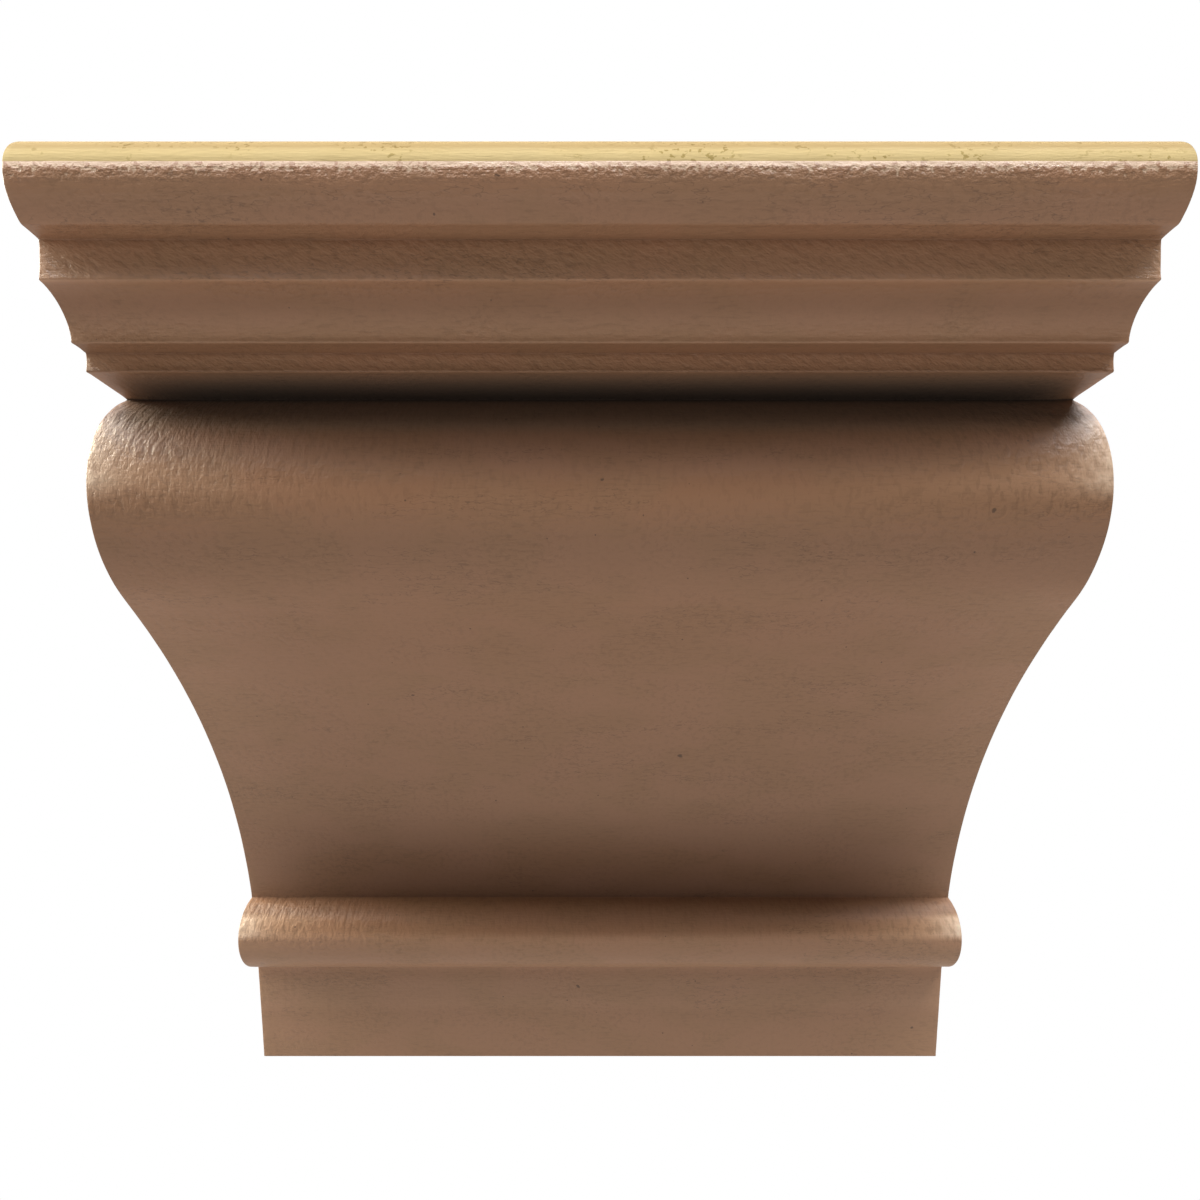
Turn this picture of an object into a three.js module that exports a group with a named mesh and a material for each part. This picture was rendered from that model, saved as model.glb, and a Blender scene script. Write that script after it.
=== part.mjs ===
// A moulded urethane corbel, cast in one piece with the same profile from side to side.
// Its flat back goes against a wall and its flat top carries a shelf, beam or eave.
//
// Millimetres. X runs across the width, the front faces -Y and +Z is up.
// The origin is the middle of the back face, which is the plane Y = 0.

import * as THREE from 'three';

// Overall sizes
const width = 304.8;
const height = 304.8;
const depth = 152.4; // wall to the foremost line of the crown

// Crown: a slab whose front edge is one round nosing
const crownThickness = 21.7;
const noseRadius = 13.2;

// First fillet and the cove under it
const firstStep = 11.1; // nosing's foremost line back to the first fillet
const firstFillet = 11.0;
const coveReach = 10.8;
const coveDrop = 10.8;
const coveRadius = 12.0;

// Second fillet
const secondStep = 5.4;
const secondFillet = 5.5;

// Cushion: the round upper half of the body, flush with the second fillet
const cushionRadius = 40.4;
const cushionDrop = 32.8; // soffit down to the cushion's centre

// Scoop: the hollow lower half of the body, which leaves the cushion without a corner
const scoopRadius = 203;

// Half-round bead on the plinth's top edge
const beadRadius = 16.1;
const footLead = 5.2; // foot of the scoop in front of the bead's centre

// Plinth: its face leans back towards the wall
const plinthHeight = 43.7;
const plinthTopDepth = 28.1;
const plinthFootDepth = 22.8;

// Furthest that a flat facet falls inside the arc it stands for
const facetHeight = 0.006;

// A profile point: how far it stands out from the wall, and its height above the underside.
const at = (out, up) => new THREE.Vector2(out, up);

// Points evenly along an arc from one angle to another, both ends included.
function arc(centre, radius, fromAngle, toAngle) {
  const halfStep = Math.acos(Math.max(1 - facetHeight / radius, 0));
  const steps = 2 * Math.ceil(Math.abs(toAngle - fromAngle) / (4 * halfStep));
  const clockwise = toAngle < fromAngle;
  const curve = new THREE.EllipseCurve(
    centre.x, centre.y, radius, radius, fromAngle, toAngle, clockwise);
  return curve.getPoints(Math.max(steps, 2));
}

// Direction of a point seen from a centre, between a start angle and one full turn past it.
function angleOf(point, centre, start = -Math.PI) {
  const angle = Math.atan2(point.y - centre.y, point.x - centre.x);
  return angle < start ? angle + 2 * Math.PI : angle;
}

// Where two circles cross, on the right of the way from the first centre to the second.
function crossing(first, firstRadius, second, secondRadius) {
  const between = second.clone().sub(first);
  const distance = between.length();
  const along = (firstRadius ** 2 - secondRadius ** 2 + distance ** 2) / (2 * distance);
  const aside = Math.sqrt(Math.max(firstRadius ** 2 - along ** 2, 0));
  const unit = between.divideScalar(distance);
  return first.clone()
    .addScaledVector(unit, along)
    .add(at(unit.y * aside, -unit.x * aside));
}

// Height of a round edge above its centre, at a distance in front of that centre.
const riseOn = (radius, lead) => Math.sqrt(Math.max(radius ** 2 - lead ** 2, 0));

// The crown's nosing, from the top face down to the first soffit.
function nosing() {
  const centre = at(depth - noseRadius, height - crownThickness / 2);
  const reach = Math.asin(Math.min(crownThickness / (2 * noseRadius), 1));
  return arc(centre, noseRadius, reach, -reach);
}

// The first fillet and the cove below it: a hollow arc whose centre stands in front.
function coveBand() {
  const soffit = height - crownThickness;
  const fillet = depth - firstStep;
  const start = at(fillet, soffit - firstFillet);
  const end = at(fillet - coveReach, start.y - coveDrop);
  const centre = crossing(end, coveRadius, start, coveRadius);
  const behind = angleOf(start, centre);
  return [
    at(fillet, soffit),
    ...arc(centre, coveRadius, behind, angleOf(end, centre, behind)),
  ];
}

// The second fillet, a short upright face.
function secondBand() {
  const face = depth - firstStep - coveReach - secondStep;
  const top = height - crownThickness - firstFillet - coveDrop;
  return [at(face, top), at(face, top - secondFillet)];
}

// The body's S-curve: the cushion runs into the scoop where their arcs touch.
function body(fillet, foot) {
  const cushion = at(fillet.x - cushionRadius, fillet.y - cushionDrop);
  const neck = at(cushion.x + riseOn(cushionRadius, cushionDrop), fillet.y);
  const scoop = crossing(foot, scoopRadius, cushion, cushionRadius + scoopRadius);
  const turn = angleOf(scoop, cushion);
  const behind = turn + Math.PI;
  return [
    ...arc(cushion, cushionRadius, angleOf(neck, cushion), turn),
    ...arc(scoop, scoopRadius, behind, angleOf(foot, scoop, behind)),
  ];
}

// The half-round bead, from the foot of the scoop round to the plinth's top edge.
const beadCentre = () => at(plinthTopDepth, plinthHeight + beadRadius);
const scoopFoot = () => beadCentre().add(at(footLead, riseOn(beadRadius, footLead)));

function bead() {
  const centre = beadCentre();
  return arc(centre, beadRadius, angleOf(scoopFoot(), centre), -Math.PI / 2);
}

// The whole side profile, drawn down the front and closed along the back.
function profile() {
  const fillet = secondBand();
  const points = [
    at(0, height),
    ...nosing(),
    ...coveBand(),
    ...fillet,
    ...body(fillet[1], scoopFoot()),
    ...bead(),
    at(plinthFootDepth, 0),
    at(0, 0),
  ];
  const apart = 0.001;
  return points.filter((point, i) => i === 0 || point.distanceTo(points[i - 1]) > apart);
}

// The profile carried across the width, stood up with its back on Y = 0.
function corbelGeometry() {
  const geometry = new THREE.ExtrudeGeometry(new THREE.Shape(profile()), {
    depth: width,
    bevelEnabled: false,
    steps: 1,
  });
  geometry.translate(0, -height / 2, -width / 2);
  const across = new THREE.Vector3(-1, 0, 0);
  const outwards = new THREE.Vector3(0, -1, 0);
  const upwards = new THREE.Vector3(0, 0, 1);
  return geometry.applyMatrix4(new THREE.Matrix4().makeBasis(outwards, upwards, across));
}

const stain = new THREE.MeshStandardMaterial({
  name: 'brown stain on urethane',
  color: 0x86654f,
  roughness: 0.55,
  metalness: 0,
});

const corbel = new THREE.Mesh(corbelGeometry(), stain);
corbel.name = 'corbel';

const group = new THREE.Group();
group.add(corbel);

export default group;
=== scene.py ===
# A moulded urethane corbel: brown stain over a cast skin, bare foam along the top of the crown.
# Metres. X runs across the width, the front faces -Y, Z is up and the back stands on Y = 0.

import math

import bpy
import numpy as np
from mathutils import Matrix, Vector


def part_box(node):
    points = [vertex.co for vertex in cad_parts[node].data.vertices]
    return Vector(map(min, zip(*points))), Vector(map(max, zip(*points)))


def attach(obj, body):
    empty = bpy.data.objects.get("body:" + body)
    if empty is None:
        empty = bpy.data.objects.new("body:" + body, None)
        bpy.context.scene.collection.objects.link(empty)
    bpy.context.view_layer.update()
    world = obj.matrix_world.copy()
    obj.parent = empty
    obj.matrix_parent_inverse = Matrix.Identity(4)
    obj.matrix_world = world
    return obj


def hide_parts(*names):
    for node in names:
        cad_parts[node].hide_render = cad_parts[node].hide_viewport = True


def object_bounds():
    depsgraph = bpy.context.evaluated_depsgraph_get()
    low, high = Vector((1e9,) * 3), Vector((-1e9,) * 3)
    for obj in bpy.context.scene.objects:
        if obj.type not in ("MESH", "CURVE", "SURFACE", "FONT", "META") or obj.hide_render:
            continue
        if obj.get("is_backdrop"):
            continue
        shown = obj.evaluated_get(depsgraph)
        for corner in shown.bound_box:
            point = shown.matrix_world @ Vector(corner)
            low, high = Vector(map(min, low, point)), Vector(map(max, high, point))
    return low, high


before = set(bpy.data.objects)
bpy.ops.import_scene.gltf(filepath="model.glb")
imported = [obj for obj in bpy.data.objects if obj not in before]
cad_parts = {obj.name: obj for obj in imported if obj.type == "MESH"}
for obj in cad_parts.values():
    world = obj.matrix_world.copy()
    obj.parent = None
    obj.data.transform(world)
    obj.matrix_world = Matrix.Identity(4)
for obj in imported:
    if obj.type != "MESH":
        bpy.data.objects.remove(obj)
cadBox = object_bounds()
partLow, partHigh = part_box("corbel")
print("frame loaded")


# The side profile

corbelShape = {
    "crownThickness": 0.0217,
    "noseRadius": 0.0132,  # the crown's round front edge
    "firstStep": 0.0111,  # nosing back to the upper fillet
    "firstFillet": 0.0110,
    "coveReach": 0.0108,
    "coveDrop": 0.0108,
    "coveRadius": 0.0120,
    "secondStep": 0.0054,  # foot of the cove back to the lower fillet
    "secondFillet": 0.0055,
    "cushionRadius": 0.0404,
    "cushionDrop": 0.0328,  # soffit down to the cushion's centre
    "scoopRadius": 0.203,
    "beadRadius": 0.0161,
    "footLead": 0.0052,  # foot of the scoop in front of the bead's centre
    "plinthHeight": 0.0437,
    "plinthTopDepth": 0.0281,
    "plinthFootDepth": 0.0228,
    "arris": 0.0006,  # each outer edge is rounded from this far off
    "innerCorner": 0.0001,
    "sideArris": 0.0003,  # radius of the edges round both side faces
    "foamShort": 0.0011,  # bare foam ends this far above the nosing's foremost line
}


def arcPoints(centre, radius, fromAngle, toAngle, count=400):
    # centre + radius (cos a, sin a), the angle a running evenly from one end to the other
    angle = np.linspace(fromAngle, toAngle, count)
    return np.array(centre) + radius * np.column_stack((np.cos(angle), np.sin(angle)))


def linePoints(first, last, count=100):
    # (1 - t) first + t last, t running evenly from 0 to 1
    t = np.linspace(0, 1, count)[:, None]
    return (1 - t) * np.array(first) + t * np.array(last)


def angleOf(point, centre, least=-math.pi):
    # direction of a point seen from a centre, between the least angle and one turn past it
    angle = math.atan2(point[1] - centre[1], point[0] - centre[0])
    return angle + 2 * math.pi if angle < least else angle


def circlesCross(first, firstRadius, second, secondRadius):
    # a = (r1^2 - r2^2 + d^2) / 2d along the line of centres, then sqrt(r1^2 - a^2) to its right
    way = np.array(second) - np.array(first)
    distance = math.hypot(*way)
    along = (firstRadius**2 - secondRadius**2 + distance**2) / (2 * distance)
    aside = math.sqrt(firstRadius**2 - along**2)
    unit = way / distance
    return np.array(first) + along * unit + aside * np.array((unit[1], -unit[0]))


def profileRuns(shape, depth, height):
    # The outline as runs of (out from the wall, up from the underside): forwards along the top,
    # down the front, back under the foot and up the wall.
    nose, reach = shape["noseRadius"], math.asin(shape["crownThickness"] / 2 / shape["noseRadius"])
    nosing = arcPoints((depth - nose, height - shape["crownThickness"] / 2), nose, reach, -reach)

    fillet = depth - shape["firstStep"]
    soffit = height - shape["crownThickness"]
    coveTop = np.array((fillet, soffit - shape["firstFillet"]))
    coveFoot = coveTop - (shape["coveReach"], shape["coveDrop"])
    coveCentre = circlesCross(coveFoot, shape["coveRadius"], coveTop, shape["coveRadius"])
    behind = angleOf(coveTop, coveCentre)
    cove = arcPoints(coveCentre, shape["coveRadius"], behind, angleOf(coveFoot, coveCentre, behind))

    face = coveFoot[0] - shape["secondStep"]
    filletFoot = np.array((face, coveFoot[1] - shape["secondFillet"]))
    cushionCentre = filletFoot - (shape["cushionRadius"], shape["cushionDrop"])
    lead = math.sqrt(shape["cushionRadius"] ** 2 - shape["cushionDrop"] ** 2)
    neck = (cushionCentre[0] + lead, filletFoot[1])

    beadCentre = np.array((shape["plinthTopDepth"], shape["plinthHeight"] + shape["beadRadius"]))
    rise = math.sqrt(shape["beadRadius"] ** 2 - shape["footLead"] ** 2)
    scoopFoot = beadCentre + (shape["footLead"], rise)
    reachBoth = shape["cushionRadius"] + shape["scoopRadius"]
    scoopCentre = circlesCross(scoopFoot, shape["scoopRadius"], cushionCentre, reachBoth)
    turn = angleOf(scoopCentre, cushionCentre)
    hollow = turn + math.pi
    hollowEnd = angleOf(scoopFoot, scoopCentre, hollow)
    plinthTop = (shape["plinthTopDepth"], shape["plinthHeight"])
    plinthFoot = (shape["plinthFootDepth"], 0.0)

    return {
        "top": linePoints((0, height), nosing[0]),
        "nosing": nosing,
        "crownSoffit": linePoints(nosing[-1], (fillet, soffit)),
        "upperFillet": linePoints((fillet, soffit), coveTop),
        "cove": cove,
        "coveSoffit": linePoints(coveFoot, (face, coveFoot[1])),
        "lowerFillet": linePoints((face, coveFoot[1]), filletFoot),
        "neckSoffit": linePoints(filletFoot, neck),
        "cushion": arcPoints(cushionCentre, shape["cushionRadius"], angleOf(neck, cushionCentre), turn),
        "scoop": arcPoints(scoopCentre, shape["scoopRadius"], hollow, hollowEnd),
        "bead": arcPoints(beadCentre, shape["beadRadius"], angleOf(scoopFoot, beadCentre), -math.pi / 2),
        "plinth": linePoints(plinthTop, plinthFoot),
        "underside": linePoints(plinthFoot, (0, 0)),
        "back": linePoints((0, 0), (0, height)),
    }


width = partHigh.x - partLow.x
depth = partHigh.y - partLow.y
height = partHigh.z - partLow.z
runs = profileRuns(corbelShape, depth, height)
outline = np.concatenate(list(runs.values()))
outlineAlong = np.concatenate(([0], np.cumsum(np.hypot(*np.diff(outline, axis=0).T))))
runEnds = outlineAlong[np.cumsum([len(points) for points in runs.values()]) - 1]
runStarts = np.concatenate(([0], runEnds[:-1]))
start = dict(zip(runs, runStarts))  # distance along the outline at which each run begins
end = dict(zip(runs, runEnds))
girth = runEnds[-1]
print("profile drawn,", round(girth * 1000), "mm round")


# The mesh grid: rows along the outline, columns across the width

skinGrid = {
    "columns": 190,
    "frontSpacing": 0.00133,  # rows on what shows from the front
    "hiddenSpacing": {"top": 0.006, "underside": 0.003, "back": 0.012},
    "arrisSpacing": 0.00022,
    "growth": 0.4,  # spacing gained per metre away from an arris
    "searchStep": 0.00004,  # how finely the rows' places are worked out
    "arrisColumns": 4,
    "sideMapShift": (0, 2.0),  # keeps the side faces' part of each map clear of the rest
}


def wrapped(distance):
    # distance round the outline, from half a turn behind to half a turn ahead
    return (distance + girth / 2) % girth - girth / 2


def cornerCuts():
    # how far from each run's start the corner there is cut: outer edges, inner corners, and none at the
    # smooth join of cushion and scoop
    cuts = dict.fromkeys(runs, corbelShape["arris"])
    for name in ("upperFillet", "lowerFillet", "cushion", "bead", "plinth"):
        cuts[name] = corbelShape["innerCorner"]
    del cuts["scoop"]
    return cuts


def rowPlaces(cuts):
    # places s with even steps of the integral of ds / h(s), h growing from each corner up to its run's limit
    place = np.arange(0, girth, skinGrid["searchStep"])
    spacing = np.full(len(place), skinGrid["frontSpacing"])
    for name, limit in skinGrid["hiddenSpacing"].items():
        spacing[(place >= start[name]) & (place < end[name])] = limit
    for name, cut in cuts.items():
        away = np.abs(wrapped(place - start[name]))
        nearby = skinGrid["arrisSpacing"] + skinGrid["growth"] * np.maximum(away - cut, 0)
        spacing = np.minimum(spacing, nearby)
    steps = np.concatenate(([0], np.cumsum(np.diff(place) / spacing[:-1])))
    count = int(round(steps[-1]))
    return np.interp(np.arange(count) * steps[-1] / count, steps, place)


def pointAt(place):
    # the sharp outline at distances s along it
    s = place % girth
    return np.column_stack([np.interp(s, outlineAlong, outline[:, k]) for k in (0, 1)])


def roundedOutline(place, cuts):
    # Each corner C becomes (1-t)^2 A + 2t(1-t) C + t^2 B between the points A and B, which are one cut
    # before and after it.
    points = pointAt(place)
    for name, cut in cuts.items():
        corner = start[name]
        away = wrapped(place - corner)
        near = np.abs(away) < cut
        t = ((away[near] + cut) / (2 * cut))[:, None]
        a, c, b = (pointAt(np.array([corner + offset])) for offset in (-cut, 0, cut))
        points[near] = (1 - t) ** 2 * a + 2 * t * (1 - t) * c + t**2 * b
    return points


def outwardNormals(points):
    # the loop's tangent, turned a quarter to the left
    tangent = np.roll(points, -1, axis=0) - np.roll(points, 1, axis=0)
    normal = np.column_stack((-tangent[:, 1], tangent[:, 0]))
    return normal / np.hypot(*normal.T)[:, None]


def columnPlaces():
    # Even columns, and at each side face a quarter round: x = w/2 - r + r sin q, set back r (1 - cos q).
    radius = corbelShape["sideArris"]
    quarter = np.linspace(0, math.pi / 2, skinGrid["arrisColumns"] + 1)[1:]
    flat = np.linspace(-1, 1, skinGrid["columns"]) * (width / 2 - radius)
    round_ = width / 2 - radius + radius * np.sin(quarter)
    back = radius * (1 - np.cos(quarter))
    x = np.concatenate((-round_[::-1], flat, round_))
    return x, np.concatenate((back[::-1], np.zeros(len(flat)), back))


cuts = cornerCuts()
rows = rowPlaces(cuts)
ring = roundedOutline(rows, cuts)
ringNormal = outwardNormals(ring)
columns, sideSetBack = columnPlaces()
foremost = (start["nosing"] + end["nosing"]) / 2
foamEnd = foremost - corbelShape["foamShort"]
print("grid of", len(rows), "rows and", len(columns), "columns")


def sideDistance(x):
    # how far from the nearer side face
    return np.maximum(width / 2 - np.abs(x), 0)


def band(place, low, high, soft):
    # 1 between two places along the outline, fading to 0 over a soft distance outside
    away = np.maximum(low - place, place - high)
    t = np.clip(1 - away / soft, 0, 1)
    return t * t * (3 - 2 * t)


# Painted shade: darker round the neck under the crown, at the foot of the scoop and in the inner corners

paintedShade = {
    # how dark at its darkest (1 is black), how far it reaches along the outline, how it bows and tails off,
    # and over what distance it thins out towards the side faces
    "aboveNeck": (0.86, 0.0185, 2.0, 1.0, 0.007),
    "inNeck": (0.86, 0.0090, 1.0, 1.0, 0.002),
    "belowNeck": (0.53, 0.0460, 6.0, 3.0, 0.004),
    "aboveFoot": (0.64, 0.0500, 1.6, 1.8, 0.030),
    "inFoot": (0.34, 0.0080, 1.0, 1.0, 0.004),
    "belowFoot": (0.33, 0.0190, 4.0, 1.2, 0.030),
    "endPull": (0.35, 0.030),  # it reaches this share less far near the side faces
    "corners": {"upperFillet": 0.34, "lowerFillet": 0.26, "cushion": 0.9, "plinth": 0.16, "neckSoffit": 0.26},
    "cornerReach": 0.0010,
    "hue": 1.40,  # power of the tone for blue, and half as far from 1 for green: the painted shade is also warmer
    # but the painted shade is greyer round the neck: power, from this far into the soffit, to this far down the
    # cushion, soft edge
    "neckHue": (0.80, 0.003, 0.017, 0.006),
}

paintedLightAndTone = {
    # painted light on stretches: run, from and to measured from its top, soft edge, how much lighter (minus:
    # painted shade)
    "stretches": (
        ("nosing", 0.0160, 0.0195, 0.0025, 0.12),
        ("upperFillet", 0.0030, 0.0110, 0.0020, 0.19),
        ("cove", 0.0145, 0.0163, 0.0020, 0.13),
        ("coveSoffit", 0.0003, 0.0054, 0.0005, -0.17),
        ("lowerFillet", 0.0015, 0.0055, 0.0010, 0.09),
        ("scoop", 0.0450, 0.0850, 0.0300, 0.07),
        ("bead", 0.0200, 0.0450, 0.0040, 0.20),
        ("plinth", 0.0000, 0.0430, 0.0050, 0.22),
        ("plinth", 0.0100, 0.0180, 0.0060, 0.13),
    ),
    "coveWave": (0.18, 1.4),  # painted shade in the upper half of the cove, painted light on its lower lip
    # ends of the rounds, painted light and painted sheen: from and to measured from the run's top, soft edge,
    # how much lighter, and how far in from the side face
    "ends": {
        "cushion": (0.020, 0.037, 0.008, 0.34, 0.055),
        "bead": (0.0115, 0.0170, 0.0035, 0.50, 0.065),
    },
    "sheen": (0.008, 1.5),  # where the painted sheen shows on them: how far in, and the power it falls by
    "filletEnds": (0.40, 0.5, 0.006, 0.001),  # painted light at the fillets' ends: how much, share of it on the lower one, how far in, soft edge
    "sides": (0.12, 0.030, 0.010),  # painted light from scoop to plinth, near the side faces: how much, how far in, soft edge
    "sideFaces": 0.62,  # tone, stained darker than the front
    "back": 0.90,  # tone
    # bare foam: tone of the top (painted shade), brightest tone (painted light), how far down the nosing that
    # starts, soft edge
    "foamTop": (0.70, 1.08, 0.0090, 0.0030),
}


def paintedShadeAmount(x, s):
    # Painted shade, the darkest of the fades peak (1 - (d / reach)^bow)^tail at d from a recess, times
    # 1 - exp(-e / fade) at e from the nearer side face; and in each inner corner peak exp(-d / reach).
    fromSide = sideDistance(x)
    share, within = paintedShade["endPull"]
    pull = 1 - share * np.exp(-fromSide / within)
    distances = {
        "aboveNeck": start["cushion"] - s,
        "inNeck": s - start["cushion"],
        "belowNeck": (s - start["cushion"]) / pull,
        "aboveFoot": start["bead"] - s,
        "inFoot": s - start["bead"],
        "belowFoot": s - start["bead"],
    }
    dark = np.zeros_like(s)
    for name, distance in distances.items():
        peak, reach, bow, tail, fade = paintedShade[name]
        share = np.clip(distance / reach, 0, 1)
        here = np.where(distance >= 0, peak * (1 - share**bow) ** tail, 0)
        dark = np.maximum(dark, here * (1 - np.exp(-fromSide / fade)))
    for name, peak in paintedShade["corners"].items():
        away = np.abs(s - start[name])
        dark = np.maximum(dark, peak * np.exp(-away / paintedShade["cornerReach"]))
    return dark


def paintedSheen(x, s):
    # painted sheen, exp(-(d / reach)^power) on the rounds' end stretches, d being the distance from the nearer
    # side face
    ends = np.zeros_like(s)
    for name, (low, high, soft, _, _) in paintedLightAndTone["ends"].items():
        ends += band(s, start[name] + low, start[name] + high, soft)
    reach, power = paintedLightAndTone["sheen"]
    return ends * np.exp(-((sideDistance(x) / reach) ** power))


def paintedLightAndToneFactor(x, s):
    # Painted light and shade, the product of one plus each gain. Near the side faces it falls as exp(-(d /
    # reach)^2), on the fillets as exp(-d / reach), and in the cove it is -a sin(2 pi t^power), t running from 0
    # to 1 down the cove.
    fromSide = sideDistance(x)
    light = np.ones_like(s)
    for name, low, high, soft, gain in paintedLightAndTone["stretches"]:
        light += gain * band(s, start[name] + low, start[name] + high, soft)
    for name, (low, high, soft, gain, reach) in paintedLightAndTone["ends"].items():
        here = band(s, start[name] + low, start[name] + high, soft)
        light *= 1 + gain * here * np.exp(-((fromSide / reach) ** 2))
    gain, lowerShare, reach, soft = paintedLightAndTone["filletEnds"]
    fillets = band(s, start["upperFillet"], end["upperFillet"], soft)
    fillets += lowerShare * band(s, start["lowerFillet"], end["neckSoffit"], soft)
    light *= 1 + gain * fillets * np.exp(-fromSide / reach)
    gain, reach, soft = paintedLightAndTone["sides"]
    here = band(s, start["scoop"], end["plinth"], soft)
    light *= 1 + gain * here * np.exp(-((fromSide / reach) ** 2))
    gain, power = paintedLightAndTone["coveWave"]
    t = np.clip((s - start["cove"]) / (end["cove"] - start["cove"]), 0, 1)
    light *= 1 - gain * np.sin(2 * math.pi * t**power)
    dull, bright, down, soft = paintedLightAndTone["foamTop"]
    foam = dull + (bright - dull) * band(s, start["nosing"] + down, foamEnd, soft)
    return np.where(s < foamEnd, foam, np.where(s > start["back"], paintedLightAndTone["back"], light))


def toneWithPaintedShading(x, s):
    # painted shade and light as one tone: (1 - painted shade) times the painted light and the plain tones
    return (1 - paintedShadeAmount(x, s)) * paintedLightAndToneFactor(x, s)


def paintedShadingHue(s):
    # the power of the painted shading's tone for blue, lower round the neck where the painted shade is greyer
    hue = paintedShade["hue"]
    neckHue, above, below, soft = paintedShade["neckHue"]
    return hue + (neckHue - hue) * band(s, start["neckSoffit"] + above, start["cushion"] + below, soft)


# Relief in the mesh

castRelief = {
    "seed": 41,
    "swell": (0.030, 0.014, 0.00010),  # wavelength across, wavelength along, depth
    "wave": (0.011, 0.007, 0.00007),
    "ripple": (0.0055, 0.0045, 0.00006),
    "noseDepth": 0.00016,  # hammered line along the nosing's foremost part
    "noseWave": (0.0042, 0.0025),
    "noseBand": (-0.0008, 0.0022, 0.0025),  # from and to, measured from the foremost line, and soft edge
    "filletDepth": 0.00016,  # slanting furrows on both fillets
    "filletWave": (0.0120, 0.0034),
    "filletSlant": 0.6,
    "filletSoft": {"upperFillet": 0.0012, "lowerFillet": 0.0008},
    "frontEdge": (0.001, 0.002),  # full to this far inside the front's two ends, then fading over this
    "crispReach": 0.0012,  # the corners stay straight
}


def softNoise(across, along, seed, cells=512):
    # A random value at each whole step of a lattice, joined by the curve t^2 (3 - 2t) in both ways. Whole
    # numbers that a caller adds only shift the pattern.
    values = np.random.default_rng(seed).random((cells, cells))
    i, j = np.floor(across).astype(int), np.floor(along).astype(int)
    s, t = across - i, along - j
    s, t = s * s * (3 - 2 * s), t * t * (3 - 2 * t)
    corner = lambda di, dj: values[(i + di) % cells, (j + dj) % cells]
    low = corner(0, 0) * (1 - s) + corner(1, 0) * s
    high = corner(0, 1) * (1 - s) + corner(1, 1) * s
    return low * (1 - t) + high * t


def reliefDepth(x, s):
    # The sum of the noise layers, each from 0 to its depth, always inwards from the solid's own surface,
    # times 1 - exp(-(d / reach)^2) at d from each corner, and fading out at the front's two ends.
    seed = castRelief["seed"]
    depthSum = np.zeros_like(x)
    for k, name in enumerate(("swell", "wave", "ripple")):
        across, along, deep = castRelief[name]
        depthSum += deep * softNoise(x / across + 100, s / along + 7 * k, seed + k)
    low, high, soft = castRelief["noseBand"]
    nose = band(s, foremost + low, foremost + high, soft)
    across, along = castRelief["noseWave"]
    depthSum += castRelief["noseDepth"] * nose * softNoise(x / across + 50, s / along, seed + 5)
    fillets = np.zeros_like(x)
    for name, soft in castRelief["filletSoft"].items():
        fillets += band(s, start[name], end[name], soft)
    wideWave, narrowWave = castRelief["filletWave"]
    lean = castRelief["filletSlant"]
    long = (x * math.cos(lean) + s * math.sin(lean)) / wideWave
    short = (s * math.cos(lean) - x * math.sin(lean)) / narrowWave
    depthSum += castRelief["filletDepth"] * fillets * softNoise(long + 40, short + 300, seed + 9)
    inside, soft = castRelief["frontEdge"]
    front = band(s, start["nosing"] + inside, end["plinth"] - inside, soft)
    for name in cuts:
        front = front * (1 - np.exp(-(((s - start[name]) / castRelief["crispReach"]) ** 2)))
    return depthSum * front


xGrid, sGrid = np.meshgrid(columns, rows)
inwards = reliefDepth(xGrid, sGrid) + sideSetBack
outPlace = ring[:, 0, None] - ringNormal[:, 0, None] * inwards
upPlace = ring[:, 1, None] - ringNormal[:, 1, None] * inwards
corners = np.stack((xGrid, partHigh.y - outPlace, partLow.z + upPlace), axis=-1)
print("relief worked out")


# What the finish reads from the mesh: how deep the fine tooling is, where cracks gather, and a map that
# follows the tooling

tooling = {
    # millimetres of fine relief
    "plain": 0.110,
    "plainPatch": 0.130,  # more of it in patches
    "round": 0.190,  # hammered upper part of the cushion and of the bead
    "roundEnd": 0.270,  # and more towards their ends
    "roundEndReach": 0.055,
    "nose": 0.420,
    "fillet": 0.320,
    "side": 0.080,
    "foam": 0.018,
    # the patches' noise: size across, size along, seed, and from which value and how steeply they rise
    "patch": (0.017, 0.010, 71, 0.45, 4),
    "roundBands": {"cushion": (0.046, 0.004), "bead": (0.0195, 0.0025)},  # how far down, soft edge
    "noseBand": (0.0025, 0.0020),
    "filletSoft": 0.0001,
    "roundStretch": 0.50,  # bumps drawn out along the outline where this is under 1
    "plainStretch": 1.20,
    "mapSteps": 6000,  # how finely the stretch is added up
    "filletTurn": 0.55,
    "filletLong": 0.60,
    "filletShort": 1.25,
    # cracks: a coarse and a finer noise, each with its share, size across, size along and seed
    "crackNoise": ((0.7, 0.050, 0.0075, 83), (0.3, 0.009, 0.004, 84)),
    "crackRise": (0.62, 9),  # they show where the noise passes this, and rise so steeply
    # and in these stretches: run, from and to measured from its top, how much, how far in from a side face,
    # and which one (-1 left, 1 right)
    "crackStretches": (
        ("cushion", 0.0375, 0.0440, 1.0, 0.045, -1),
        ("cushion", 0.0350, 0.0410, 1.0, 0.035, 1),
        ("bead", 0.0165, 0.0200, 1.0, 0.070, -1),
        ("plinth", 0.0010, 0.0070, 0.8, 0.090, -1),
    ),
    "crackStretchRise": (0.25, 4),
    "crackStretchSoft": 0.0015,
}


def roundBand(s):
    # 1 on the hammered upper part of the cushion and of the bead
    share = np.zeros_like(s)
    for name, (down, soft) in tooling["roundBands"].items():
        share += band(s, start[name], start[name] + down, soft)
    return np.clip(share, 0, 1)


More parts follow.
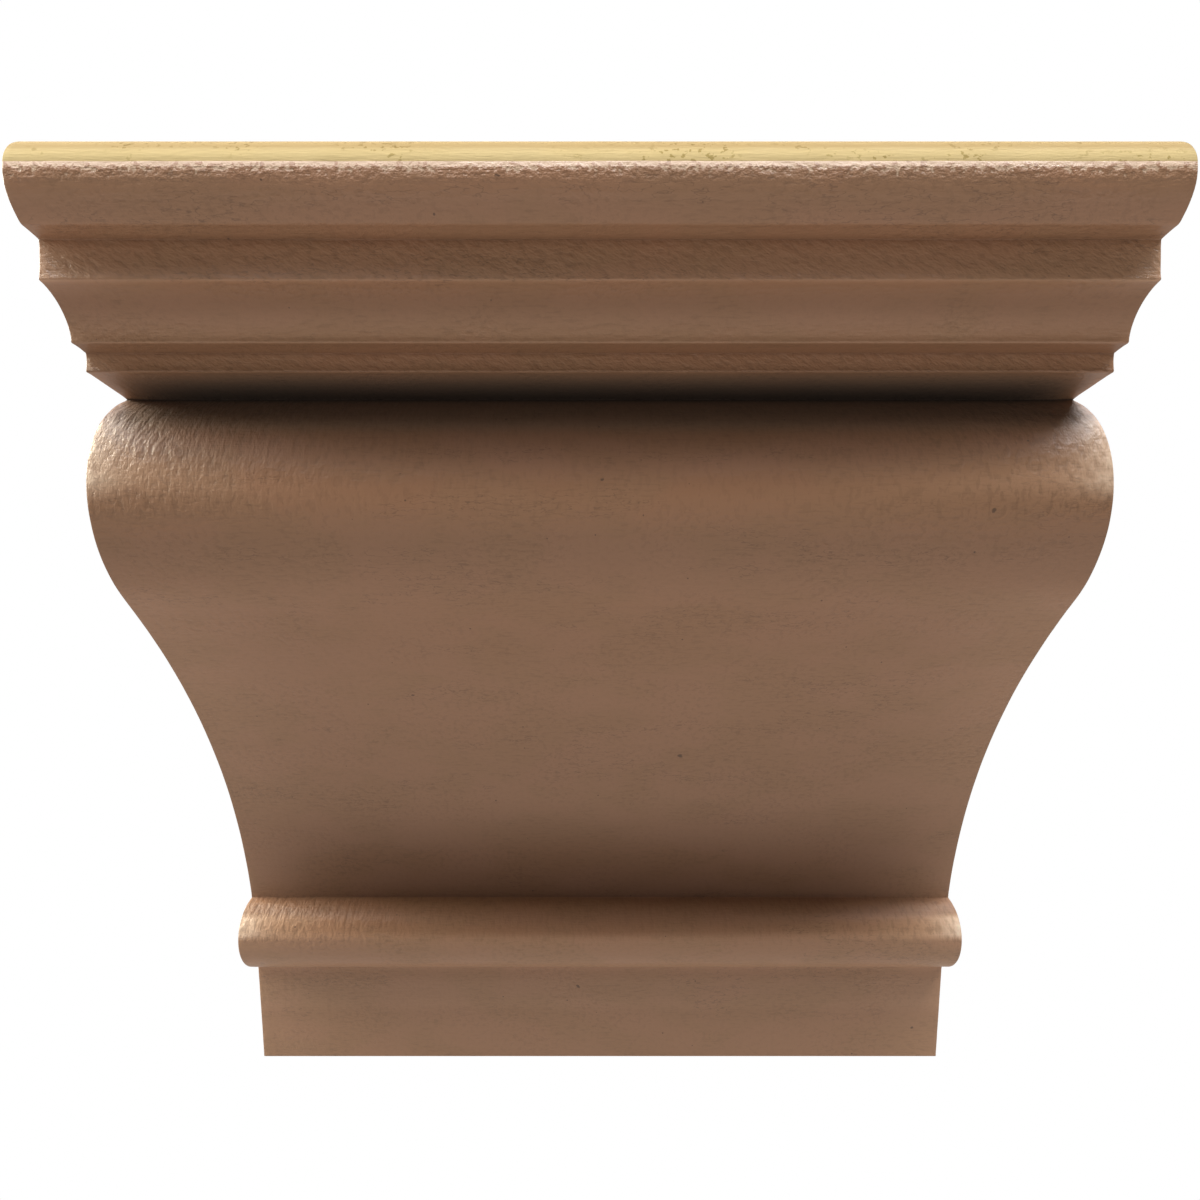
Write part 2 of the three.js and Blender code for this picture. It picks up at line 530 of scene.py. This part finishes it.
def toolDepth(x, s):
    # the plain depth with its patches, raised to each band's own depth; the rounds gain e exp(-(d / reach)^2)
    # at d from the nearer side face
    across, along, seed, least, steep = tooling["patch"]
    patch = softNoise(x / across + 20, s / along + 60, seed)
    depthHere = tooling["plain"] + tooling["plainPatch"] * np.clip((patch - least) * steep, 0, 1)
    nearEnd = np.exp(-((sideDistance(x) / tooling["roundEndReach"]) ** 2))
    depthHere += (tooling["round"] + tooling["roundEnd"] * nearEnd - depthHere) * roundBand(s)
    wide, soft = tooling["noseBand"]
    depthHere += (tooling["nose"] - depthHere) * band(s, foremost, foremost + wide, soft)
    fillets = np.zeros_like(s)
    for name in ("upperFillet", "lowerFillet"):
        fillets += band(s, start[name], end[name], tooling["filletSoft"])
    depthHere += (tooling["fillet"] - depthHere) * fillets
    bare = (s < foremost) | (s > start["back"])
    return np.where(bare, tooling["foam"], depthHere)


def crackShare(x, s):
    # flat strips where a coarse noise, broken by a finer one, passes the limit; the named stretches fade
    # as exp(-(d / reach)^2) at d from one side face
    patch = np.zeros_like(x)
    for part, across, along, seed in tooling["crackNoise"]:
        patch += part * softNoise(x / across + 9, s / along + 30, seed)
    least, steep = tooling["crackRise"]
    share = np.clip((patch - least) * steep, 0, 1)
    least, steep = tooling["crackStretchRise"]
    for name, low, high, much, reach, side in tooling["crackStretches"]:
        here = much * band(s, start[name] + low, start[name] + high, tooling["crackStretchSoft"])
        here = here * np.exp(-(((width / 2 - side * x) / reach) ** 2))
        share = np.maximum(share, here * np.clip((patch - least) * steep, 0, 1))
    return share


def toolingMap(across, along):
    # (x, integral of the stretch along s), and on the fillets both turned and drawn out along the furrows
    place = np.linspace(0, girth, tooling["mapSteps"])
    plain, onRounds = tooling["plainStretch"], tooling["roundStretch"]
    stretch = plain + (onRounds - plain) * roundBand(place)
    drawn = np.interp(along, place, np.cumsum(stretch) * (place[1] - place[0]))
    middle = along.mean(axis=-1, keepdims=True)
    onFillet = np.zeros(middle.shape, bool)
    for name in ("upperFillet", "lowerFillet"):
        onFillet |= (middle > start[name]) & (middle < end[name])
    c, n = math.cos(tooling["filletTurn"]), math.sin(tooling["filletTurn"])
    furrowLong = (across * c + along * n) * tooling["filletLong"]
    furrowShort = (along * c - across * n) * tooling["filletShort"]
    return np.where(onFillet, furrowLong, across), np.where(onFillet, furrowShort, drawn)


# The skin as one closed mesh

def ringQuads(rowCount, columnCount):
    # Vertex (j, i) is j * columns + i; a quad runs (j, i), (j+1, i), (j+1, i+1), (j, i+1), and the rows
    # close in a ring.
    j, i = np.meshgrid(np.arange(rowCount), np.arange(columnCount - 1), indexing="ij")
    here = j * columnCount + i
    below = (j + 1) % rowCount * columnCount + i
    return np.stack((here, below, below + 1, here + 1), -1).reshape(-1, 4)


def quadPlaces(rowCount, columnCount):
    # (x, s) of each quad's four corners, in the same order; the last row's quads end at the full girth
    j, i = np.meshgrid(np.arange(rowCount), np.arange(columnCount - 1), indexing="ij")
    places = np.append(rows, girth)
    across = np.stack((columns[i], columns[i], columns[i + 1], columns[i + 1]), -1)
    along = np.stack((places[j], places[j + 1], places[j + 1], places[j]), -1)
    return across.reshape(-1, 4), along.reshape(-1, 4)


def meshFrom(name, points, quads, loops, maps, values):
    # one mesh of quads and two many-sided faces, with its maps and its values given corner by corner
    mesh = bpy.data.meshes.new(name)
    corner = np.concatenate([quads.ravel()] + loops)
    sizes = np.array([4] * len(quads) + [len(loop) for loop in loops])
    mesh.vertices.add(len(points))
    mesh.vertices.foreach_set("co", points.astype(np.float32).ravel())
    mesh.loops.add(len(corner))
    mesh.loops.foreach_set("vertex_index", corner.astype(np.int32))
    mesh.polygons.add(len(sizes))
    mesh.polygons.foreach_set("loop_start", np.concatenate(([0], np.cumsum(sizes)[:-1])).astype(np.int32))
    mesh.polygons.foreach_set("use_smooth", sizes == 4)
    for key, places in maps.items():
        layer = mesh.uv_layers.new(name=key)
        layer.data.foreach_set("uv", places.astype(np.float32).ravel())
    for key, numbers in values.items():
        attribute = mesh.attributes.new(key, "FLOAT", "CORNER")
        attribute.data.foreach_set("value", numbers.astype(np.float32).ravel())
    mesh.update(calc_edges=True)
    mesh.validate(verbose=False)
    return mesh


def mapWithSides(across, along, sidePlaces):
    # (across, along) for the ring's corners, followed by the side faces' own places, shifted clear of them
    onRing = np.stack((across, along), -1).reshape(-1, 2)
    return np.concatenate((onRing, sidePlaces + skinGrid["sideMapShift"]))


def withSides(onRing, onSide, count):
    # values for the ring's corners, followed by one value for every corner of the side faces
    return np.concatenate((onRing.ravel(), np.full(count, onSide)))


rowCount, columnCount = len(rows), len(columns)
rightLoop = np.arange(rowCount) * columnCount + columnCount - 1
leftLoop = (np.arange(rowCount) * columnCount)[::-1]
points = corners.reshape(-1, 3)
across, along = quadPlaces(rowCount, columnCount)
sidePlaces = np.concatenate([points[loop][:, 1:] for loop in (rightLoop, leftLoop)])
maps = {
    "alongProfile": mapWithSides(across, along, sidePlaces),
    "alongTooling": mapWithSides(*toolingMap(across, along), sidePlaces),
}
# the tone carries the painted light and shade; the sheen share is the painted sheen at the rounds' ends
values = {
    "toneWithPaintedShading": withSides(toneWithPaintedShading(across, along), paintedLightAndTone["sideFaces"], len(sidePlaces)),
    "paintedShadingHue": withSides(paintedShadingHue(along), 1.0, len(sidePlaces)),
    "paintedSheen": withSides(paintedSheen(across, along), 0.0, len(sidePlaces)),
    "toolDepth": withSides(toolDepth(across, along), tooling["side"], len(sidePlaces)),
    "crackShare": withSides(crackShare(across, along), 0.0, len(sidePlaces)),
}
quads = ringQuads(rowCount, columnCount)
skinMesh = meshFrom("corbelSkin", points, quads, [rightLoop, leftLoop], maps, values)
corbelSkin = bpy.data.objects.new("corbelSkin", skinMesh)
bpy.context.scene.collection.objects.link(corbelSkin)
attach(corbelSkin, "root")
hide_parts("corbel")
print("skin made,", 2 * rowCount * (columnCount - 1) + 2 * (rowCount - 2), "triangles")


# Finish: stain and bare foam, with painted light and shade in their tone

stainFinish = {
    "redder": (0.387, 0.200, 0.109),
    "olive": (0.375, 0.198, 0.106),
    "crack": (0.10, 0.058, 0.038),
    "thinAndSheen": (0.66, 0.46, 0.31),  # thin stain at its edge by the foam, with painted glints there; also the painted sheen at the rounds' ends
    "thinEdgeAndGlints": 0.0014,  # width of the thin edge next to the foam, thin stain and painted glints
    "thinEdgeAndGlintsWaver": 0.0080,
    "thinEdgeAndGlintsShare": 0.9,
    "sheenShare": (0.45, 0.95),  # at the foot and at the top of the bumps
    "roughness": 0.46,
    "roughnessSpread": 0.05,  # more or less by patches
    "shadedRoughness": 0.30,  # added where the shade is painted darkest
    "gloss": 0.4,
    # noises: the map's scale across and along (under 1 draws them out), features per metre, detail, roughness
    "bumps": ((1, 1, 1), 480, 2.0, 0.6),
    "grain": ((0.17, 1, 1), 1150, 1.0, 0.6),
    "saw": ((1, 0.09, 1), 560, 0.0, 0.5),
    "patch": ((0.5, 1, 1), 46, 2.0, 0.6),
    "vein": ((0.22, 1, 1), 520, 2.0, 0.6),
    "grainDepth": 0.075,  # depths in millimetres
    "sawDepth": 0.060,
    "grainDark": 0.08,  # how much darker the stain lies in the grain's hollows
    "toolDark": 0.36,  # and between the bumps, for each millimetre of their depth
    "crackWidth": 0.022,  # as a step of the vein noise
    "crackStrength": 0.42,
    "markStrength": 0.75,
    "markWobble": 0.0014,
    "foam": (0.548, 0.409, 0.179),
    "foamSpeck": (0.34, 0.24, 0.070),
    "foamRoughness": 0.85,
    "backFlecks": 0.25,  # the foam's flecks are fainter on the back
    "specksPerMetre": 70,  # cells that may each hold one small dark speck
    "speckRadius": 0.028,  # as a share of a cell
    "speckEmpty": 0.66,  # share of the cells without one
    # between which values of a noise each look fades in
    "olivePatch": (0.40, 0.60),
    "hollowPatch": (0.44, 0.58),
    "fleckBumps": (0.58, 0.67),
    "fleckPatch": (0.47, 0.60),
    "sheenBumps": (0.25, 0.75),
    "roughPatch": (0.3, 0.7),
    # and between which it fades out: the hollows by their noise, the rougher painted shade by its tone
    "hollowGrain": (0.30, 0.46),
    "hollowBumps": (0.34, 0.50),
    "shadedTone": (0.4, 1.0),
}

# pinholes and dents: run, across from the middle, down from the run's top, half width, half height
marks = (
    ("nosing", -0.0260, 0.0153, 0.0010, 0.0003),
    ("cushion", 0.0006, 0.0372, 0.0008, 0.0006),
    ("cushion", 0.1175, 0.0465, 0.0011, 0.0009),
    ("scoop", -0.0690, 0.0426, 0.0010, 0.0005),
    ("scoop", 0.0317, 0.0718, 0.0014, 0.0009),
    ("plinth", -0.0098, 0.0102, 0.0008, 0.0007),
    ("plinth", 0.1407, 0.0301, 0.0008, 0.0008),
)


class Graph:
    # Short calls for the nodes of one material.

    def __init__(self, material):
        self.tree = material.node_tree
        self.tree.nodes.clear()

    def node(self, kind, **settings):
        made = self.tree.nodes.new(kind)
        for key, value in settings.items():
            setattr(made, key, value)
        return made

    def feed(self, socket, value):
        if isinstance(value, bpy.types.NodeSocket):
            self.tree.links.new(value, socket)
        elif isinstance(value, tuple) and len(value) == 3 and socket.type == "RGBA":
            socket.default_value = (*value, 1)
        else:
            socket.default_value = value

    def math(self, operation, a, b=0.0, c=0.0):
        made = self.node("ShaderNodeMath", operation=operation)
        for socket, value in zip(made.inputs, (a, b, c)):
            self.feed(socket, value)
        return made.outputs[0]

    def attribute(self, name):
        return self.node("ShaderNodeAttribute", attribute_name=name).outputs["Fac"]

    def noise(self, surface, mapScale, perMetre, detail, roughness):
        # flat noise on the surface's map, which is scaled first
        placed = self.node("ShaderNodeMapping")
        self.feed(placed.inputs["Vector"], surface)
        placed.inputs["Scale"].default_value = mapScale
        made = self.node("ShaderNodeTexNoise", noise_dimensions="2D")
        self.feed(made.inputs["Vector"], placed.outputs[0])
        made.inputs["Scale"].default_value = perMetre
        made.inputs["Detail"].default_value = detail
        made.inputs["Roughness"].default_value = roughness
        return made.outputs[0]

    def grey(self, value):
        made = self.node("ShaderNodeCombineColor")
        for socket in made.inputs:
            self.feed(socket, value)
        return made.outputs[0]

    def vector(self, operation, a, b=(0, 0, 0)):
        made = self.node("ShaderNodeVectorMath", operation=operation)
        self.feed(made.inputs[0], a)
        self.feed(made.inputs[1], b)
        return made

    def both(self, value):
        made = self.node("ShaderNodeCombineXYZ")
        self.feed(made.inputs[0], value)
        self.feed(made.inputs[1], value)
        return made.outputs[0]

    def marks(self, surface, places):
        # each mark is 1 in the oval |(place - middle) / half size| < 1/2 and falls to 0 at 1; the deepest shows
        deepest = 0.0
        for run, x, s, halfWide, halfHigh in places:
            away = self.vector("SUBTRACT", surface, (x, start[run] + s, 0)).outputs[0]
            share = self.vector("LENGTH", self.vector("DIVIDE", away, (halfWide, halfHigh, 1)).outputs[0])
            hole = self.ramp(share.outputs["Value"], 0.5, 1.0, 1, 0)
            deepest = self.math("MAXIMUM", hole, deepest)
        return deepest

    def specks(self, surface, perMetre, radius, empty):
        # in cells whose random number passes the empty share, a small round spot that grows with that number;
        # its edge is soft from a tenth of the full radius outside it to four tenths inside
        cell = self.node("ShaderNodeTexVoronoi", voronoi_dimensions="2D")
        self.feed(cell.inputs["Vector"], surface)
        cell.inputs["Scale"].default_value = perMetre
        chance = self.node("ShaderNodeSeparateColor")
        self.feed(chance.inputs[0], cell.outputs["Color"])
        reach = self.ramp(chance.outputs[0], empty, 1.0, 0.0, radius, smooth=False)
        inside = self.math("SUBTRACT", reach, cell.outputs["Distance"])
        return self.ramp(inside, -radius * 0.1, radius * 0.4, 0, 1)

    def ramp(self, value, low, high, toLow=0.0, toHigh=1.0, smooth=True):
        made = self.node("ShaderNodeMapRange", interpolation_type="SMOOTHSTEP" if smooth else "LINEAR")
        for name, number in (("From Min", low), ("From Max", high), ("To Min", toLow), ("To Max", toHigh)):
            self.feed(made.inputs[name], number)
        self.feed(made.inputs["Value"], value)
        return made.outputs[0]

    def mix(self, factor, a, b, blend="MIX", clamp=False):
        made = self.node("ShaderNodeMix", data_type="RGBA", blend_type=blend, clamp_result=clamp)
        self.feed(made.inputs[0], factor)
        self.feed(made.inputs[6], a)
        self.feed(made.inputs[7], b)
        return made.outputs[2]


def stainedUrethane():
    material = bpy.data.materials.new("stainedUrethane")
    material.use_nodes = True
    g = Graph(material)
    look = stainFinish
    surface = g.node("ShaderNodeUVMap", uv_map="alongProfile").outputs[0]
    tool = g.node("ShaderNodeUVMap", uv_map="alongTooling").outputs[0]
    apart = g.node("ShaderNodeSeparateXYZ")
    g.feed(apart.inputs[0], surface)
    along = apart.outputs[1]

    # Relief too fine for the mesh, in millimetres
    bumps = g.noise(tool, *look["bumps"])
    fine = g.math("MULTIPLY", bumps, g.attribute("toolDepth"))
    grain = g.noise(surface, *look["grain"])
    fine = g.math("MULTIPLY_ADD", grain, look["grainDepth"], fine)
    saw = g.noise(surface, *look["saw"])
    fine = g.math("MULTIPLY_ADD", saw, look["sawDepth"], fine)
    bump = g.node("ShaderNodeBump")
    bump.inputs["Strength"].default_value = 1.0
    bump.inputs["Distance"].default_value = 0.001  # one millimetre
    g.feed(bump.inputs["Height"], fine)

    # Bare foam on the top, on the upper half of the nosing and on the back
    onTop = g.math("LESS_THAN", along, foamEnd)
    onBack = g.math("COMPARE", along, (start["back"] + girth) / 2, (girth - start["back"]) / 2)
    foam = g.math("MAXIMUM", onTop, onBack)

    # Stain: slightly redder and more olive patches, darker in the grain's hollows and between the bumps
    patch = g.noise(surface, *look["patch"])
    colour = g.mix(g.ramp(patch, *look["olivePatch"]), look["redder"], look["olive"])
    hollow = g.ramp(grain, *look["hollowGrain"], 1, 0)
    hollow = g.math("MULTIPLY", hollow, g.ramp(patch, *look["hollowPatch"]))
    shade = g.math("MULTIPLY_ADD", hollow, -look["grainDark"], 1.0)
    hollow = g.math("MULTIPLY", g.ramp(bumps, *look["hollowBumps"], 1, 0), g.attribute("toolDepth"))
    shade = g.math("MULTIPLY_ADD", hollow, -look["toolDark"], shade)
    colour = g.mix(1.0, colour, g.grey(shade), "MULTIPLY")

    # Hairline cracks in flat strips, and pinholes
    vein = g.noise(surface, *look["vein"])
    off = g.math("ABSOLUTE", g.math("SUBTRACT", vein, 0.5))
    line = g.ramp(off, 0.0, look["crackWidth"], look["crackStrength"], 0, smooth=False)
    crack = g.math("MULTIPLY", line, g.attribute("crackShare"))
    wobble = g.math("MULTIPLY_ADD", bumps, look["markWobble"], -look["markWobble"] / 2)
    wobbled = g.vector("ADD", surface, g.both(wobble)).outputs[0]
    specks = g.specks(surface, look["specksPerMetre"], look["speckRadius"], look["speckEmpty"])
    hole = g.math("MAXIMUM", g.marks(wobbled, marks), specks)
    hole = g.math("MULTIPLY", hole, look["markStrength"])
    colour = g.mix(g.math("MAXIMUM", crack, hole), colour, look["crack"])

    # Thin stain with painted glints in a ragged edge next to the foam, and painted sheen at the ends of the
    # rounds
    thinEdgeAndGlints = g.math("MULTIPLY_ADD", g.math("SUBTRACT", bumps, 0.5), look["thinEdgeAndGlintsWaver"], along)
    fullTo, goneAt = foamEnd + look["thinEdgeAndGlints"] * 0.5, foamEnd + look["thinEdgeAndGlints"] * 1.5
    thinAndSheen = g.ramp(thinEdgeAndGlints, fullTo, goneAt, look["thinEdgeAndGlintsShare"], 0)
    sheen = g.ramp(bumps, *look["sheenBumps"], *look["sheenShare"])
    sheen = g.math("MULTIPLY", g.attribute("paintedSheen"), sheen)
    colour = g.mix(g.math("MAXIMUM", thinAndSheen, sheen), colour, look["thinAndSheen"])

    # Foam with its flecks, and over all of it the tone, which carries the painted light and shade
    flecks = g.math("MULTIPLY", g.ramp(bumps, *look["fleckBumps"]), g.ramp(patch, *look["fleckPatch"]))
    flecks = g.math("MULTIPLY", flecks, g.math("MULTIPLY_ADD", onBack, look["backFlecks"] - 1, 1.0))
    colour = g.mix(foam, colour, g.mix(flecks, look["foam"], look["foamSpeck"]))
    tone = g.attribute("toneWithPaintedShading")
    hue = g.attribute("paintedShadingHue")
    tint = g.node("ShaderNodeCombineColor")
    g.feed(tint.inputs[0], tone)
    g.feed(tint.inputs[1], g.math("POWER", tone, g.math("MULTIPLY_ADD", hue, 0.5, 0.5)))
    g.feed(tint.inputs[2], g.math("POWER", tone, hue))
    colour = g.mix(1.0, colour, tint.outputs[0], "MULTIPLY", clamp=True)

    base, spread = look["roughness"], look["roughnessSpread"]
    roughness = g.ramp(patch, *look["roughPatch"], base - spread, base + spread)
    # rougher where the shade is painted darkest
    inPaintedShade = g.ramp(tone, *look["shadedTone"], look["shadedRoughness"], 0)
    roughness = g.math("ADD", roughness, inPaintedShade)
    roughness = g.math("MULTIPLY_ADD", foam, look["foamRoughness"] - look["roughness"], roughness)

    shader = g.node("ShaderNodeBsdfPrincipled")
    shader.inputs["Specular IOR Level"].default_value = look["gloss"]
    g.feed(shader.inputs["Base Color"], colour)
    g.feed(shader.inputs["Roughness"], roughness)
    g.feed(shader.inputs["Normal"], bump.outputs[0])
    output = g.node("ShaderNodeOutputMaterial")
    g.feed(output.inputs["Surface"], shader.outputs[0])
    return material


skinMesh.materials.append(stainedUrethane())
print("finish made")


# Floor, light and camera

studio = {
    "floorBelow": 0.75,  # under the part's middle
    "floorSize": 14.0,
    "floorGlow": 0.69,  # what the pale floor sends up to the part
    "surround": 0.02,
    "panelDistance": 1.7,
    "panels": {  # azimuth from the front (left is minus), elevation, watts, width, height
        "leftPanel": (-90, 27, 34, 0.75, 0.65),
        "highLeftPanel": (-90, 50, 7, 0.75, 0.65),
        "rightPanel": (90, 55, 12, 0.75, 0.65),
        "overheadPanel": (0, 75, 18, 0.75, 0.65),
        "frontLeftPanel": (-45, 55, 10, 0.75, 0.65),
        "frontRightPanel": (45, 60, 14, 0.75, 0.65),
        "backPanel": (180, 35, 30, 1.2, 0.8),
    },
    "warm": {"leftPanel": (1.0, 0.96, 0.80)},  # the other panels are white
    "cameraBack": 0.1652,  # in front of the crown
    "cameraRise": 0.00046,
    "lens": 19.5,  # millimetres, on a sensor this wide
    "sensor": 36,
    "rise": 0.0996,  # lens shift, as a share of the frame
    "nearest": 0.01,  # what is closer to the camera isn't drawn
}


def flatMaterial(name, seen, sent):
    # pale to the eye, and a weaker source for everything else
    material = bpy.data.materials.new(name)
    material.use_nodes = True
    g = Graph(material)
    glow = g.node("ShaderNodeEmission")
    g.feed(glow.inputs["Color"], (1.0, 1.0, 1.0))
    seenFirst = g.node("ShaderNodeLightPath").outputs["Is Camera Ray"]
    g.feed(glow.inputs["Strength"], g.ramp(seenFirst, 0, 1, sent, seen, smooth=False))
    output = g.node("ShaderNodeOutputMaterial")
    g.feed(output.inputs["Surface"], glow.outputs[0])
    return material


def makeFloor():
    half = studio["floorSize"] / 2
    x, y = np.meshgrid((-half, half), (-half, half))
    points = np.column_stack((x.ravel(), y.ravel(), np.full(4, -studio["floorBelow"])))
    mesh = bpy.data.meshes.new("paleFloor")
    mesh.from_pydata(points.tolist(), [], [(0, 1, 3, 2)])
    mesh.materials.append(flatMaterial("paleFloor", 1.0, studio["floorGlow"]))
    floor = bpy.data.objects.new("paleFloor", mesh)
    bpy.context.scene.collection.objects.link(floor)
    floor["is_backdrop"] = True


def makeSurround():
    world = bpy.data.worlds.new("paleSurround")
    world.use_nodes = True
    tree = world.node_tree
    background = tree.nodes["Background"]
    background.inputs["Color"].default_value = (1, 1, 1, 1)
    seen = tree.nodes.new("ShaderNodeLightPath")
    level = tree.nodes.new("ShaderNodeMapRange")
    level.inputs["To Min"].default_value = studio["surround"]
    level.inputs["To Max"].default_value = 1.0
    tree.links.new(seen.outputs["Is Camera Ray"], level.inputs["Value"])
    tree.links.new(level.outputs[0], background.inputs["Strength"])
    bpy.context.scene.world = world


def makePanel(name, azimuth, elevation, watts, wide, high):
    # at distance d: d (sin a cos e, -cos a cos e, sin e) from the part, turned to face it
    a, e = math.radians(azimuth), math.radians(elevation)
    way = Vector((math.sin(a) * math.cos(e), -math.cos(a) * math.cos(e), math.sin(e)))
    lamp = bpy.data.lights.new(name, "AREA")
    lamp.shape = "RECTANGLE"
    lamp.size, lamp.size_y = wide, high
    lamp.energy = watts
    lamp.color = studio["warm"].get(name, (1, 1, 1))
    panel = bpy.data.objects.new(name, lamp)
    bpy.context.scene.collection.objects.link(panel)
    panel.location = Vector((0, -depth / 2, 0)) + way * studio["panelDistance"]
    panel.rotation_euler = (-way).to_track_quat("-Z", "Y").to_euler()
    panel.visible_camera = False


def makeCamera():
    lens = bpy.data.cameras.new("camera")
    lens.lens = studio["lens"]
    lens.sensor_width = studio["sensor"]
    lens.shift_y = studio["rise"]
    lens.clip_start = studio["nearest"]
    camera = bpy.data.objects.new("camera", lens)
    bpy.context.scene.collection.objects.link(camera)
    camera.location = (0, partLow.y - studio["cameraBack"], studio["cameraRise"])
    camera.rotation_euler = (math.pi / 2, 0, 0)
    bpy.context.scene.camera = camera


makeFloor()
makeSurround()
for name, panel in studio["panels"].items():
    makePanel(name, *panel)
makeCamera()
bpy.context.scene.view_settings.view_transform = "Standard"
print("floor, light and camera set")

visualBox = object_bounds()
{"cad": [list(corner) for corner in cadBox], "visual": [list(corner) for corner in visualBox]}
